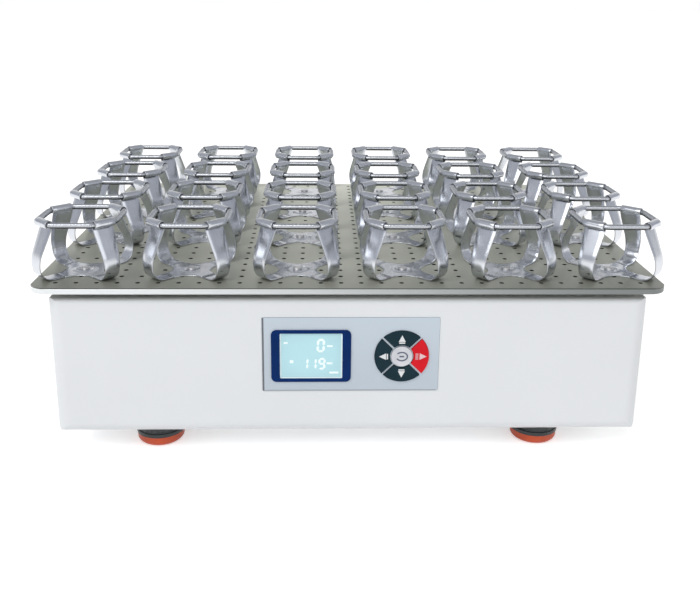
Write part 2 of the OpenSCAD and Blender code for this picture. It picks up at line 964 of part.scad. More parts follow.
// power module: flange, body, socket with three pins and the well of the rocker
module power_inlet() {
    rear = body_back + inlet_t;
    color("dimgray")
        translate([inlet_x, 0, inlet_z]) {
            difference() {
                union() {
                    translate([-inlet_w / 2, body_back, -inlet_h / 2])
                        cube([inlet_w, inlet_t, inlet_h]);
                    translate([-inlet_body_w / 2, body_back - inlet_depth, -inlet_body_h / 2])
                        cube([inlet_body_w, inlet_depth, inlet_body_h]);
                }
                translate([socket_x - socket_w / 2, rear - socket_depth, -socket_h / 2])
                    cube([socket_w, socket_depth + 1, socket_h]);
                translate([-rocker_x, rear - rocker_well, 0])
                    rocker_well_cut();
            }
            for (i = [-1 : 1])
                translate([socket_x + i * pin_pitch / 2 - pin_w / 2, rear - socket_depth - 1, abs(i) * 3 - 1 - pin_h / 2])
                    cube([pin_w, pin_l + 1, pin_h]);
        }
}

module rocker_well_cut() {
    w = rocker_w + 2 * rocker_gap;
    h = rocker_h + 2 * rocker_gap;
    translate([-w / 2, 0, -h / 2])
        cube([w, rocker_well + 1, h]);
}

// rocker with its two faces dished towards the middle and pins in the sides of its well
module power_switch() {
    rear = body_back + inlet_t;
    half = rocker_h / 2;
    color("black")
        translate([inlet_x - rocker_x, rear, inlet_z])
            rotate([-rocker_a, 0, 0])
                rotate([90, 0, 90])
                    linear_extrude(rocker_w, center = true)
                        polygon([[-4, -half + 3], [rocker_rise, -half], [0.4, 0], [rocker_rise, half], [-4, half - 3]]);
}

module power_supply() {
    color("silver")
        translate([supply_x - supply_w / 2, supply_y - supply_d / 2, pan_top])
            cube([supply_w, supply_d, supply_h]);
}

// flanged tower with a bearing seat at each end
module bearing_housing() {
    color("slategray")
        translate([0, orbit_y, pan_top])
            rotate_extrude()
                difference() {
                    union() {
                        square([tower_d / 2, tower_h]);
                        square([tower_flange_d / 2, tower_flange_t]);
                    }
                    translate([-1, -1])
                        square([bearing_od / 2 + 1, bearing_w + tower_flange_t + 1]);
                    translate([-1, tower_h - bearing_w])
                        square([bearing_od / 2 + 1, bearing_w + 1]);
                    translate([-1, 0])
                        square([shaft_d / 2 + 6, tower_h]);
                }
}

// plain ring that stands for a ball bearing
module bearing(od, id, w) {
    rotate_extrude()
        translate([id / 2, 0])
            square([(od - id) / 2, w]);
}

module shaft_bearings() {
    color("lightgray") {
        translate([0, orbit_y, pan_top + tower_flange_t])
            bearing(bearing_od, shaft_d + 2 * run_gap, bearing_w);
        translate([0, orbit_y, tower_top - bearing_w])
            bearing(bearing_od, shaft_d + 2 * run_gap, bearing_w);
        for (i = [0 : 3])
            translate([idler_at(i)[0], idler_at(i)[1] + orbit_y, 0]) {
                translate([0, 0, idler_top - idler_bearing_w])
                    bearing(idler_bearing_od, idler_pin_d + 2 * run_gap, idler_bearing_w);
                translate([0, 0, idler_top - 3 * idler_bearing_w])
                    bearing(idler_bearing_od, idler_pin_d + 2 * run_gap, idler_bearing_w);
            }
    }
}

// main shaft, crank web with its counterweight, and the crank pin one throw behind the axis
module crankshaft() {
    color("gray")
        translate([0, orbit_y, 0]) {
            translate([0, 0, pan_top + 3])
                cylinder(d = shaft_d, h = web_z - pan_top - 2);
            translate([0, 0, web_z]) {
                cylinder(r = orbit_r + pin_d / 2 + 4, h = web_t);
                linear_extrude(web_t)
                    ring_slice((weight_r + weight_in_r) / 2, weight_r - weight_in_r, -90 - weight_a, -90 + weight_a);
                translate([-weight_in_r / 2, -weight_in_r - 4, 0])
                    cube([weight_in_r, weight_in_r + 4, web_t]);
            }
            translate([0, orbit_r, web_z + web_t - 1])
                cylinder(d = pin_d, h = carrier_top - web_z - web_t);
        }
}

// flat pulley with a low flange on both edges
module pulley(d, bore) {
    rotate_extrude()
        difference() {
            translate([bore / 2, 0])
                square([(d - bore) / 2, pulley_w]);
            translate([d / 2 - pulley_lip, pulley_lip_t])
                square([pulley_lip + 1, pulley_w - 2 * pulley_lip_t]);
        }
}

module driven_pulley() {
    color("goldenrod")
        translate([0, orbit_y, pulley_z])
            difference() {
                pulley(driven_d, shaft_d);
                for (a = [0 : 60 : 300])
                    rotate(a)
                        translate([driven_d / 3.4, 0, -1])
                            cylinder(d = driven_d / 7, h = pulley_w + 2);
            }
}

// pulley on the stub of the motor shaft
module motor_pulley() {
    color("goldenrod")
        translate([-motor_x, orbit_y, 0]) {
            translate([0, 0, pulley_z])
                pulley(driver_d, motor_shaft_d);
            translate([0, 0, motor_top - 8])
                cylinder(d = motor_shaft_d, h = pulley_top - motor_top + 9);
        }
}

module drive_motor() {
    color("darkgray")
        translate([-motor_x, orbit_y, 0])
            difference() {
                union() {
                    translate([-motor_foot_w / 2, -motor_foot_w / 2, pan_top])
                        cube([motor_foot_w, motor_foot_w, motor_foot_t]);
                    translate([0, 0, pan_top])
                        cylinder(d = motor_d, h = motor_top - pan_top - 4);
                    translate([0, 0, pan_top])
                        cylinder(d = 2.4 * motor_shaft_d, h = motor_top - pan_top);
                }
                translate([0, 0, motor_top - 9])
                    cylinder(d = motor_shaft_d + 2 * run_gap, h = 10);
            }
}

// outline round both pulleys at height g over the belt seats
module belt_outline(g) {
    r1 = driven_seat_r + g;
    r2 = driver_seat_r + g;
    tilt = acos((r1 - r2) / motor_x);
    leg_1 = (r1 - belt_tuck) * [cos(tilt), sin(tilt)];
    leg_2 = (r2 - belt_tuck) * [cos(tilt), sin(tilt)];
    circle(r1);
    translate([-motor_x, 0])
        circle(r2);
    polygon([
        [-leg_1[0], leg_1[1]], [-motor_x - leg_2[0], leg_2[1]],
        [-motor_x - leg_2[0], -leg_2[1]], [-leg_1[0], -leg_1[1]]
    ]);
}

module drive_belt() {
    inset = pulley_lip_t + belt_gap;
    color("black")
        translate([0, orbit_y, pulley_z + inset])
            linear_extrude(pulley_w - 2 * inset)
                difference() {
                    belt_outline(belt_gap + belt_t);
                    belt_outline(belt_gap);
                }
}

// plate that carries the tray on four posts, with the seats of the pin bearings
module carrier() {
    color("slategray")
        difference() {
            union() {
                translate([0, 0, carrier_z])
                    linear_extrude(carrier_t)
                        difference() {
                            union() {
                                rounded_rect(carrier_w, carrier_d, carrier_corner_r);
                                for (i = [0 : 3])
                                    translate(idler_at(i))
                                        circle(idler_bearing_od / 2 + seat_wall);
                            }
                            for (sx = [-1, 1])
                                translate([sx * window_x, 0])
                                    rounded_rect(window_w, window_d, 8);
                        }
                translate([0, 0, carrier_z - hub_h])
                    cylinder(d = hub_d, h = hub_h + 1);
                at_corners(tray_screw_x, tray_screw_x)
                    translate([0, 0, carrier_z])
                        cylinder(d = post_d, h = tray_low - carrier_z);
            }
            translate([0, 0, carrier_z - hub_h - 1])
                cylinder(d = pin_bearing_od, h = bearing_w + 1);
            translate([0, 0, carrier_z - hub_h - 1])
                cylinder(d = pin_bearing_od - 10, h = hub_h + carrier_t + 2);
            for (i = [0 : 3])
                translate([idler_at(i)[0], idler_at(i)[1], carrier_z - 1])
                    cylinder(d = idler_bearing_od, h = carrier_t + 2);
            at_corners(tray_screw_x, tray_screw_x)
                translate([0, 0, tray_low - tray_screw_l])
                    cylinder(d = screw_d, h = tray_screw_l + 1);
        }
}

module pin_bearings() {
    color("lightgray") {
        translate([0, 0, carrier_z - hub_h])
            bearing(pin_bearing_od, pin_d + 2 * run_gap, bearing_w);
        for (i = [0 : 3])
            translate([idler_at(i)[0], idler_at(i)[1], carrier_z])
                bearing(idler_bearing_od, idler_pin_d + 2 * idler_gap, carrier_t);
    }
}

module idler_housings() {
    seat = 3 * idler_bearing_w;
    color("slategray")
        for (i = [0 : 3])
            translate([idler_at(i)[0], idler_at(i)[1] + orbit_y, pan_top])
                rotate_extrude()
                    difference() {
                        union() {
                            square([idler_post_d / 2, idler_post_h]);
                            square([idler_flange_d / 2, idler_flange_t]);
                        }
                        translate([-1, idler_post_h - seat])
                            square([idler_bearing_od / 2 + 1, seat + 1]);
                    }
}

// idler crank: lower pin, web and upper pin, in step with the main crank
module idler_crank() {
    lower = 3 * idler_bearing_w - 1;
    translate([0, 0, idler_top - lower])
        cylinder(d = idler_pin_d, h = lower + 3);
    translate([0, 0, idler_web_z]) {
        cylinder(r = idler_web_r, h = idler_web_t);
        translate([-idler_web_r, 0, 0])
            cube([2 * idler_web_r, orbit_r, idler_web_t]);
        translate([0, orbit_r, 0])
            cylinder(r = idler_web_r, h = idler_web_t);
        translate([0, orbit_r, idler_web_t - 1])
            cylinder(d = idler_pin_d, h = carrier_top - idler_web_z - idler_web_t + 1);
    }
}

housing();
base_pan();
foot_collars();
foot_pads();
control_panel();
display_bezel();
display();
for (i = [0 : 3])
    key(i, i == 0 ? "crimson" : "darkslategray");
key(4, "silver");  // key_centre
control_board();
power_inlet();
power_switch();
power_supply();
drive_motor();
motor_pulley();
drive_belt();
bearing_housing();
shaft_bearings();
crankshaft();
driven_pulley();
carrier();
pin_bearings();
idler_housings();
for (i = [0 : 3])
    color("gray")
            translate([idler_at(i)[0], idler_at(i)[1] + orbit_y, 0])
                idler_crank();
tray();
tray_screws();
clamp_screws();
case_fasteners();
garter_springs(1, spring_rows);  // garter_springs_front
garter_springs(spring_rows + 1, clamp_rows);  // garter_springs_rear
for (row = [1 : clamp_rows])
    for (col = [1 : clamp_cols])
        at_clamp(row, col)
                clamp();
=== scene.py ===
"""Orbital shaker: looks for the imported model, with studio, materials and the fine pieces."""
import math

import bmesh
import bpy
import numpy as np
from mathutils import Euler, Matrix, Vector


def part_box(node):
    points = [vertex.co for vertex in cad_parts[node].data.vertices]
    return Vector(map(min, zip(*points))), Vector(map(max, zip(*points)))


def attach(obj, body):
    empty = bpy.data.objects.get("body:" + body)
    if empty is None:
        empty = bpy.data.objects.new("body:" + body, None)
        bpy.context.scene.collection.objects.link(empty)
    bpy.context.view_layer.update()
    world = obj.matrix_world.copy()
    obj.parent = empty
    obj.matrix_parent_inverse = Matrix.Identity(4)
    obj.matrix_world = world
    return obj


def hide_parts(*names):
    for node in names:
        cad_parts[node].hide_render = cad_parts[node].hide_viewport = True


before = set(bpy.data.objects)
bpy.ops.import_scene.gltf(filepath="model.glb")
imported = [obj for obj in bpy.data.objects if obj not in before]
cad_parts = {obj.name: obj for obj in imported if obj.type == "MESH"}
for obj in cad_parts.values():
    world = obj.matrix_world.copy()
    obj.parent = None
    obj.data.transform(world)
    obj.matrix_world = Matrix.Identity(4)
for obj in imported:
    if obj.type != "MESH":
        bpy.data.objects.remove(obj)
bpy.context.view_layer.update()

MM = 0.001
MICRON = 0.000001
TRAY_LOW, TRAY_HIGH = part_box("tray")

# Light: plain light from all round, a soft sun, and two area lamps as (place, size, watts)
WORLD_LIGHT = 0.46
SUN_LIGHT = 0.85
SUN_SPREAD_DEG = 40
SUN_HEADING = (0.45, 0.75, -1.0)
LAMP_TARGET = (0, 0, 0.12)
LAMPS = {
    "key_lamp": ((-1.4, -1.2, 1.7), 1.0, 10),
    "fill_lamp": ((1.5, -1.4, 1.1), 1.2, 4),
}
# What reflections see: greyer from the horizon upwards, and grey at either side above a low edge
OVERHEAD = (0.42, 0.43, 0.45)
OVERHEAD_RISE = (0.05, 0.85)
SIDE_FLAG = (0.46, 0.48, 0.53)
FLAG_START = (0.45, 0.85)
FLAG_RISE = (0.02, 0.16)
# Floor
FLOOR_SIZE = 30.0
FLOOR_PALE = 0.95
FLOOR_DRIFT = 0.005
FLOOR_GLOW = 0.5

# Camera, from the perspective of the tray holes, with lens and shift in pixels of the image's width
IMAGE_W = 700
LENS_PX = 842.7
CAMERA_AT = (-0.0278, -0.9502, 0.4295)
PITCH_DEG = 14.83
YAW_DEG = 2.0
ROLL_DEG = 0.68
SHIFT_PX = 80
SENSOR_MM = 36
CLIP = (0.05, 100)

# Clamp strip, as in the part's source but for the top of its arms, which is as wide as the photograph shows
STRIP_T = 1.0 * MM
FOOT_W = 15.0 * MM
TOP_W = 21.0 * MM
TAPER_Z = 12.0 * MM
FULL_Z = 46.0 * MM
FOOT_L = 36.0 * MM
FOOT_START = 25.0 * MM
FOOT_BEND_R = 13.0 * MM
FOOT_BEND_A = math.radians(82)
BULGE_R = 28.0 * MM
BULGE_A = math.radians(32)
LEAN_L = 28.0 * MM
CURL_R = 3.6 * MM
CURL_A = math.radians(255)
WEB_R = 18.0 * MM
WEB_BORE_R = 2.3 * MM
WEB_ROLL = 0.3 * MM
# Points along each piece of an arm, round and across its section, along a hollow arc, and rings from bore to outline
ARM_POINTS = {"foot": 3, "foot_bend": 18, "bulge": 10, "lean": 8, "curl": 30}
SECTION_POINTS = 5
WEB_POINTS = 13
BASE_RINGS = 14
# Length that the brushing of the base plate is measured in
BASE_GRAIN = 3 * FOOT_W
# Pressed ring round the clamp screw
RING_AT = 8.5 * MM
RING_WIDE = 2.2 * MM
RING_H = 0.8 * MM

# Garter spring, as in the part's source, with rounded corners and its coils
SPRING_R = 2.8 * MM
SPRING_SIDE = 25.0 * MM
SPRING_BEND_R = 7.0 * MM
COIL_PITCH = 1.25 * MM
COIL_DEPTH = 0.2 * MM
SAMPLES_PER_COIL = 4
SPRING_SIDES = 12
CORNER_POINTS = 9

CLAMP_ROWS = 4
CLAMP_COLS = 6

# Strength of each finer layer of all noise, as a share of the one before
NOISE_ROUGH = 0.55


# Shader arithmetic
class Num:
    """A shader value that takes part in Python arithmetic, from either side."""

    def __init__(self, paint, socket):
        self.paint = paint
        self.socket = socket

    def math(self, operation, *values):
        """A Math node on these values, self among them."""
        node = self.paint.tree.nodes.new("ShaderNodeMath")
        node.operation = operation
        for slot, value in zip(node.inputs, values):
            self.paint.put(value, slot)
        return Num(self.paint, node.outputs[0])

    def __add__(self, other):
        return self.math("ADD", self, other)

    def __radd__(self, other):
        return self.math("ADD", other, self)

    def __sub__(self, other):
        return self.math("SUBTRACT", self, other)

    def __rsub__(self, other):
        return self.math("SUBTRACT", other, self)

    def __mul__(self, other):
        return self.math("MULTIPLY", self, other)

    def __rmul__(self, other):
        return self.math("MULTIPLY", other, self)

    def __truediv__(self, other):
        return self.math("DIVIDE", self, other)

    def __pow__(self, other):
        return self.math("POWER", self, other)

    def __gt__(self, other):
        return self.math("GREATER_THAN", self, other)

    def __lt__(self, other):
        return self.math("LESS_THAN", self, other)

    def sin(self):
        """Sine of an angle in radians."""
        return self.math("SINE", self)

    def abs(self):
        """Size without sign."""
        return self.math("ABSOLUTE", self)

    def over(self, floor):
        """Never below the floor."""
        return self.math("MAXIMUM", self, floor)

    def clamped(self):
        """Never below 0 nor above 1."""
        return self.math("MINIMUM", self.over(0.0), 1.0)

    def step(self, low, high):
        """Smooth rise from 0 at low to 1 at high."""
        node = self.paint.tree.nodes.new("ShaderNodeMapRange")
        node.interpolation_type = "SMOOTHSTEP"
        for slot, value in zip(node.inputs, (self, low, high, 0.0, 1.0)):
            self.paint.put(value, slot)
        return Num(self.paint, node.outputs[0])


class Tree:
    """The nodes of a material or of the world."""

    def __init__(self, tree):
        self.tree = tree

    def put(self, value, slot):
        """Links a value to a socket, or writes a number there."""
        if isinstance(value, Num):
            self.tree.links.new(value.socket, slot)
        else:
            slot.default_value = value

    def node(self, kind, output, inputs=(), **settings):
        """Any other node, with its inputs by name or number and its settings by name."""
        node = self.tree.nodes.new(kind)
        for key, value in settings.items():
            setattr(node, key, value)
        for key, value in dict(inputs).items():
            self.put(value, node.inputs[key])
        return Num(self, node.outputs[output])

    def place(self, scale=(1, 1, 1)):
        """Object coordinates in metres, stretched by scale."""
        here = self.node("ShaderNodeTexCoord", "Object")
        return self.node("ShaderNodeMapping", 0, {"Vector": here, "Scale": scale})

    def along(self, name, scale=(1, 1, 1)):
        """A UV map of the piece's own, stretched by scale."""
        here = self.node("ShaderNodeUVMap", 0, uv_map=name)
        return self.node("ShaderNodeMapping", 0, {"Vector": here, "Scale": scale})

    def axis(self, vector, name):
        """One part of a vector."""
        return self.node("ShaderNodeSeparateXYZ", name, {0: vector})

    def noise(self, vector, scale, detail=3.0):
        """Cloudy noise from 0 to 1."""
        inputs = {"Vector": vector, "Scale": scale, "Detail": detail, "Roughness": NOISE_ROUGH}
        return self.node("ShaderNodeTexNoise", 0, inputs)

    def cells(self, vector, scale):
        """Distance to the nearest of scattered points, in shares of their spacing."""
        return self.node("ShaderNodeTexVoronoi", "Distance", {"Vector": vector, "Scale": scale})

    def mix(self, factor, low, high):
        """Colour between low and high."""
        node = self.tree.nodes.new("ShaderNodeMix")
        node.data_type = "RGBA"
        self.put(factor, node.inputs[0])
        for value, slot in ((low, node.inputs[6]), (high, node.inputs[7])):
            self.put(value if isinstance(value, Num) else (*value, 1.0), slot)
        return Num(self, node.outputs[2])


class Paint(Tree):
    """One procedural material: a Principled shader and the values that feed it."""

    def __init__(self, name, colour, **constants):
        self.material = bpy.data.materials.new(name)
        self.material.use_nodes = True
        self.material.diffuse_color = (*colour, 1.0)
        super().__init__(self.material.node_tree)
        self.shader = self.tree.nodes["Principled BSDF"]
        self.shader.inputs["Base Color"].default_value = (*colour, 1.0)
        for key, value in constants.items():
            self.shader.inputs[key.replace("_", " ").title().replace("Ior", "IOR")].default_value = value

    def set(self, name, value):
        """Feeds a socket of the shader."""
        self.put(value, self.shader.inputs[name])
        return self

    def tones(self, factor, colour, low, high):
        """The colour times low to the colour times high, by the factor."""
        return self.mix(factor, shade(colour, low), shade(colour, high))

    def bump(self, height, distance):
        """Bump of so many metres for a height from 0 to 1."""
        normal = self.node("ShaderNodeBump", 0, {"Height": height, "Distance": distance, "Strength": 1.0})
        return self.set("Normal", normal)


def shade(colour, factor):
    """A colour made darker or lighter, never past white."""
    return tuple(min(1.0, c * factor) for c in colour)


def grey(level):
    """The grey of a level."""
    return (level, level, level)


# Tray: brightest tone over its colour, radius of its corners, and thickness of its sheet
TONE_TOP = 1.5
TRAY_CORNER_R = 18.0 * MM
TRAY_T = 3.0 * MM
# How far in from its faces the tray's folded edge and its hole walls begin, and the painted shade of the walls
LIP_EDGE = 0.7 * MM
WALL_EDGE = 0.2 * MM
HOLE_WALL_SHADE = (0.012, 0.013, 0.012)
# Tray tone, painted light and shade: how much painted shade its sides lose, the painted shade at its front edge, and
# the painted light that its depth adds, as (share, start, end) in metres from its front edge
TRAY_SIDE_SHADE = 0.31
TRAY_FRONT_SHADE = 0.6
TRAY_DEPTH_LIGHT = ((0.34, 0.0, 0.073), (0.16, 0.073, 0.323), (0.4, 0.283, 0.446))
# Display: margin hidden behind its frame, width of its bright rim, raster, reach of its glow, and backlight
LCD_HIDDEN = 1.6 * MM
LCD_RIM = 1.8 * MM
LCD_RASTER = 9000.0
LCD_REACH = 1.15
LCD_GLOW = 0.22
# Spring: where the painted shade on its underside fades out, as the sine of the angle round the ring's tube
WIRE_UNDERSIDE_SHADE = (-0.45, 0.1)


# Materials
def powder_coat(name, colour):
    """Powder-coated sheet: orange-peel grain and a faint drift of tone."""
    drift_scale, peel_scale, peel_depth = 6.0, 900.0, 60 * MICRON
    paint = Paint(name, colour, roughness=0.42, coat_weight=0.15, coat_roughness=0.3)
    drift = paint.noise(paint.place(), drift_scale, 2.0)
    peel = paint.noise(paint.place(), peel_scale, 2.0)
    paint.set("Base Color", paint.tones(drift.step(0.3, 0.7), colour, 0.985, 1.01))
    paint.set("Roughness", 0.38 + 0.1 * peel)
    return paint.bump(peel, peel_depth).material


def tray_metal(name, colour, lip_highlight, lip_shade):
    """Satin sheet with fine grain and cloudy wear, with painted shade in its holes, at its sides and at its front,
    and painted light towards the back.

    The folded lip carries a painted highlight at the left that fades to painted shade at the right. It lies below the
    top face, where the distance beyond the corner centres passes the corner radius less the edge."""
    brushing, cloud_scale, speck_scale, grain_depth = (40, 2600, 40), 7.0, 1400.0, 30 * MICRON
    paint = Paint(name, colour, metallic=0.3, roughness=0.42, coat_weight=0.3, coat_roughness=0.3)
    here = paint.place()
    x, y, z = (paint.axis(here, axis) for axis in "XYZ")
    grain = paint.noise(paint.place(brushing), 1.0)
    cloud = paint.noise(here, cloud_scale)
    speck = paint.noise(here, speck_scale, 2.0)
    front, top = TRAY_LOW[1], TRAY_HIGH[2]
    # Painted shade towards the sides, and painted light rising from a darker front edge to the back
    side_shade = 1.0 - TRAY_SIDE_SHADE * x.abs().step(0.0, TRAY_HIGH[0])
    front_to_back_light = TRAY_FRONT_SHADE + sum(share * y.step(front + start, front + end) for share, start, end in TRAY_DEPTH_LIGHT)
    wear = 0.86 + 0.2 * cloud + 0.08 * grain
    tone = (side_shade * front_to_back_light * wear / TONE_TOP).clamped()
    sheet = paint.mix(tone, (0, 0, 0), shade(colour, TONE_TOP))
    beyond = [
        (axis - (low + high) / 2).abs() - ((high - low) / 2 - TRAY_CORNER_R)
        for axis, low, high in zip((x, y), TRAY_LOW, TRAY_HIGH)
    ]
    reach = sum(b.over(0.0) ** 2.0 for b in beyond) ** 0.5
    lip = (reach > TRAY_CORNER_R - LIP_EDGE) * (z < top - LIP_EDGE)
    # Painted highlight on the lip at the left, fading to painted shade at the right
    edge = paint.mix(x.step(TRAY_LOW[0], TRAY_HIGH[0]), lip_highlight, lip_shade)
    # Painted shade on the hole walls, near black
    wall = (z < top - WALL_EDGE) * (z > top - TRAY_T + WALL_EDGE)
    paint.set("Base Color", paint.mix(lip, paint.mix(wall, sheet, HOLE_WALL_SHADE), edge))
    paint.set("Roughness", 0.36 + 0.14 * cloud + 0.06 * speck)
    return paint.bump(0.6 * grain + 0.4 * speck, grain_depth).material


def brushed_strip(name, colour):
    """Spring strip brushed finely along its length, rougher at its sheared edges, with painted shade along them."""
    brushing, smear_scale, streak_depth = (25, 14, 1), 70.0, 10 * MICRON
    paint = Paint(name, colour, metallic=1.0, roughness=0.2)
    streak = paint.noise(paint.along("strip", brushing), 1.0, 4.0)
    smear = paint.noise(paint.place(), smear_scale)
    edge = paint.axis(paint.along("strip"), "Y").abs().step(0.9, 0.99)
    tone = (0.6 * streak + 0.4 * smear).step(0.25, 0.75)
    body = paint.tones(tone, colour, 0.92, 1.06)
    # Painted shade along the edges of the strip
    paint.set("Base Color", paint.mix(0.55 * edge, body, shade(colour, 0.35)))
    paint.set("Roughness", 0.15 + 0.08 * streak + 0.06 * smear + 0.1 * edge)
    return paint.bump(streak, streak_depth).material


def spring_wire(name, colour):
    """Bright wire with painted shade in the hollows between its coils and on its underside."""
    smear_scale, smear_depth = 260.0, 20 * MICRON
    paint = Paint(name, colour, metallic=1.0, roughness=0.28)
    here = paint.along("coil")
    # Painted shade on the underside of the ring
    underside_shade = paint.axis(here, "X").step(*WIRE_UNDERSIDE_SHADE)
    ridge = paint.axis(here, "Y")
    smear = paint.noise(paint.place(), smear_scale)
    # Painted shade in the hollows between the coils, with a random smear
    body = paint.tones((0.7 * ridge + 0.3 * smear).clamped(), colour, 0.6, 1.1)
    paint.set("Base Color", paint.mix(underside_shade, shade(colour, 0.13), body))
    paint.set("Roughness", 0.2 + 0.12 * smear)
    return paint.bump(smear, smear_depth).material


def machined(name, colour, rough=0.3, metallic=1.0, grain=(1800, 90, 90)):
    """Turned or milled metal with a fine grain one way."""
    smear_scale, line_depth = 45.0, 40 * MICRON
    paint = Paint(name, colour, metallic=metallic, roughness=rough)
    lines = paint.noise(paint.place(grain), 1.0)
    smear = paint.noise(paint.place(), smear_scale)
    paint.set("Base Color", paint.tones((0.5 * lines + 0.5 * smear).clamped(), colour, 0.78, 1.18))
    paint.set("Roughness", rough - 0.06 + 0.16 * smear)
    return paint.bump(lines, line_depth).material


def moulded(name, colour, rough=0.4, grain=50, scale=1100.0, coat=0.0, specular=0.5):
    """Moulded plastic or rubber: spark-eroded grain so many microns deep, a drift of tone and handling smears."""
    smear_scale = 60.0
    paint = Paint(name, colour, roughness=rough, coat_weight=coat, coat_roughness=0.12, specular_ior_level=specular)
    pits = paint.cells(paint.place(), scale)
    smear = paint.noise(paint.place(), smear_scale)
    paint.set("Base Color", paint.tones(smear.step(0.25, 0.75), colour, 0.88, 1.12))
    paint.set("Roughness", rough - 0.05 + 0.14 * smear)
    return paint.bump(pits, grain * MICRON).material


def panel_film(name, colour):
    """Printed film over a plate: a soft fade upwards and to the right, fine speckle and a dull sheen."""
    speck_scale, speck_depth = 1500.0, 30 * MICRON
    low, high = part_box("control_panel")
    paint = Paint(name, colour, roughness=0.36, metallic=0.15, coat_weight=0.2, coat_roughness=0.25)
    here = paint.place()
    speck = paint.noise(here, speck_scale, 2.0)
    fade = paint.axis(here, "Z").step(low[2], high[2])
    drift = paint.axis(here, "X").step(low[0], high[0])
    tone = (0.7 * fade + 0.15 * drift + 0.15 * speck).clamped()
    paint.set("Base Color", paint.tones(tone, colour, 0.93, 1.07))
    paint.set("Roughness", 0.3 + 0.12 * speck)
    return paint.bump(speck, speck_depth).material


def lcd_glass(name, colour, rim_colour):
    """Backlit display with a faint raster and a bright line at its sides and foot.

    It pales towards its middle with the square of the distance, in shares of its half width and height."""
    low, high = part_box("display")
    middle = [(a + b) / 2 for a, b in zip(low, high)]
    half_w, half_h = (high[0] - low[0]) / 2 - LCD_HIDDEN, (high[2] - low[2]) / 2 - LCD_HIDDEN
    paint = Paint(name, colour, roughness=0.22, coat_weight=0.3, coat_roughness=0.1, emission_strength=LCD_GLOW)
    here = paint.place()
    across = paint.axis(here, "X") - middle[0]
    up = paint.axis(here, "Z") - middle[2]
    raster = (across * LCD_RASTER).sin() * (up * LCD_RASTER).sin()
    spread = (across / (LCD_REACH * half_w)) ** 2.0 + (up / (LCD_REACH * half_h)) ** 2.0
    tone = (0.9 - 0.8 * spread.step(0.05, 1.2) + 0.1 * raster).clamped()
    edges = ((across.abs(), half_w), (0.0 - up, half_h))
    rim = sum(place.step(half - LCD_RIM, half - 0.3 * LCD_RIM) for place, half in edges)
    body = paint.mix(rim.clamped(), paint.tones(tone, colour, 0.93, 1.03), rim_colour)
    paint.set("Base Color", body)
    paint.set("Emission Color", body)
    paint.set("Roughness", 0.18 + 0.05 * raster)
    return paint.material


def ink_or_shade_line(name, colour, rough=0.45, glow=0.0):
    """Ink on a key or a display, or a painted shade line on the panel film, with a slightly uneven lay, lit from
    behind by its glow.
    """
    lay_scale = 700.0
    paint = Paint(name, colour, roughness=rough, emission_strength=glow)
    lay = paint.noise(paint.place(), lay_scale)
    body = paint.tones(lay, colour, 0.93, 1.07)
    paint.set("Base Color", body)
    if glow:
        paint.set("Emission Color", body)
    paint.set("Roughness", rough - 0.06 + 0.12 * lay)
    return paint.material


def circuit_board(name, colour):
    """Solder mask with a trace pattern under it."""
    track_scale, track_depth = 160.0, 50 * MICRON
    paint = Paint(name, colour, roughness=0.35)
    tracks = paint.cells(paint.place(), track_scale)
    paint.set("Base Color", paint.tones(tracks.step(0.3, 0.36), colour, 0.7, 1.5))
    paint.set("Roughness", 0.28 + 0.2 * tracks)
    return paint.bump(tracks, track_depth).material


WHITE = powder_coat("white_powder", (0.825, 0.845, 0.868))
TRAY = tray_metal("tray_satin", (0.555, 0.572, 0.485), (0.84, 0.87, 0.88), (0.20, 0.22, 0.215))
STRIP = brushed_strip("brushed_strip", (0.64, 0.66, 0.70))
SPRING = spring_wire("spring_wire", (0.58, 0.60, 0.64))
BRIGHT = machined("bright_metal", (0.68, 0.68, 0.68), 0.28)
CAST = machined("cast_metal", (0.55, 0.56, 0.57), 0.42, grain=(300, 300, 300))
ZINC = machined("zinc_sheet", (0.5, 0.51, 0.53), 0.45, grain=(60, 900, 60))
STEEL = machined("machined_steel", (0.45, 0.45, 0.46), 0.32)
BLACK_SCREW = machined("black_screw", (0.012, 0.012, 0.013), 0.35, metallic=0.4)
MOTOR = moulded("motor_paint", (0.08, 0.085, 0.09), 0.4)
FILM = panel_film("panel_film", (0.53, 0.605, 0.68))
BEZEL = moulded("bezel_navy", (0.002, 0.024, 0.125), 0.42, 10, 2000.0, specular=0.08)
LCD = lcd_glass("lcd_cyan", (0.41, 0.66, 0.72), (0.78, 0.93, 0.93))
KEY_DARK = moulded("key_dark", (0.008, 0.028, 0.04), 0.42, 20, 1500.0, specular=0.12)
KEY_RED = moulded("key_red", (0.70, 0.006, 0.016), 0.42, 20, 1500.0, specular=0.2)
KEY_GREY = moulded("key_grey", (0.70, 0.71, 0.76), 0.38, 20, 1500.0, coat=0.1)
INK_PALE = ink_or_shade_line("ink_pale", (0.80, 0.82, 0.84))
INK_PINK = ink_or_shade_line("ink_pink", (0.86, 0.60, 0.62))
INK_ROSE = ink_or_shade_line("ink_rose", (0.72, 0.26, 0.29))
INK_SLATE = ink_or_shade_line("ink_slate", (0.09, 0.11, 0.17))
# Painted shade, not ink: the dark and grey lines at the left end and foot of the panel film
SHADE_LINE_DARK = ink_or_shade_line("painted_shade_left", (0.14, 0.15, 0.17))
SHADE_LINE_GREY = ink_or_shade_line("painted_shade_foot", (0.36, 0.39, 0.42))
SEGMENT = ink_or_shade_line("segment_white", (0.80, 0.90, 0.90), 0.3, LCD_GLOW)
COLLAR = moulded("collar_black", (0.016, 0.022, 0.024), 0.26, 20, 900.0, coat=0.2, specular=0.4)
ORANGE = moulded("orange_rubber", (0.58, 0.072, 0.014), 0.4, 40, 800.0, coat=0.1)
BOARD = circuit_board("board_green", (0.02, 0.16, 0.06))
INLET = moulded("inlet_black", (0.02, 0.02, 0.022), 0.42)
ROCKER = moulded("rocker_black", (0.015, 0.015, 0.016), 0.22, 20, 900.0, coat=0.5)
BELT = moulded("belt_black", (0.02, 0.02, 0.02), 0.6, 100, 500.0)

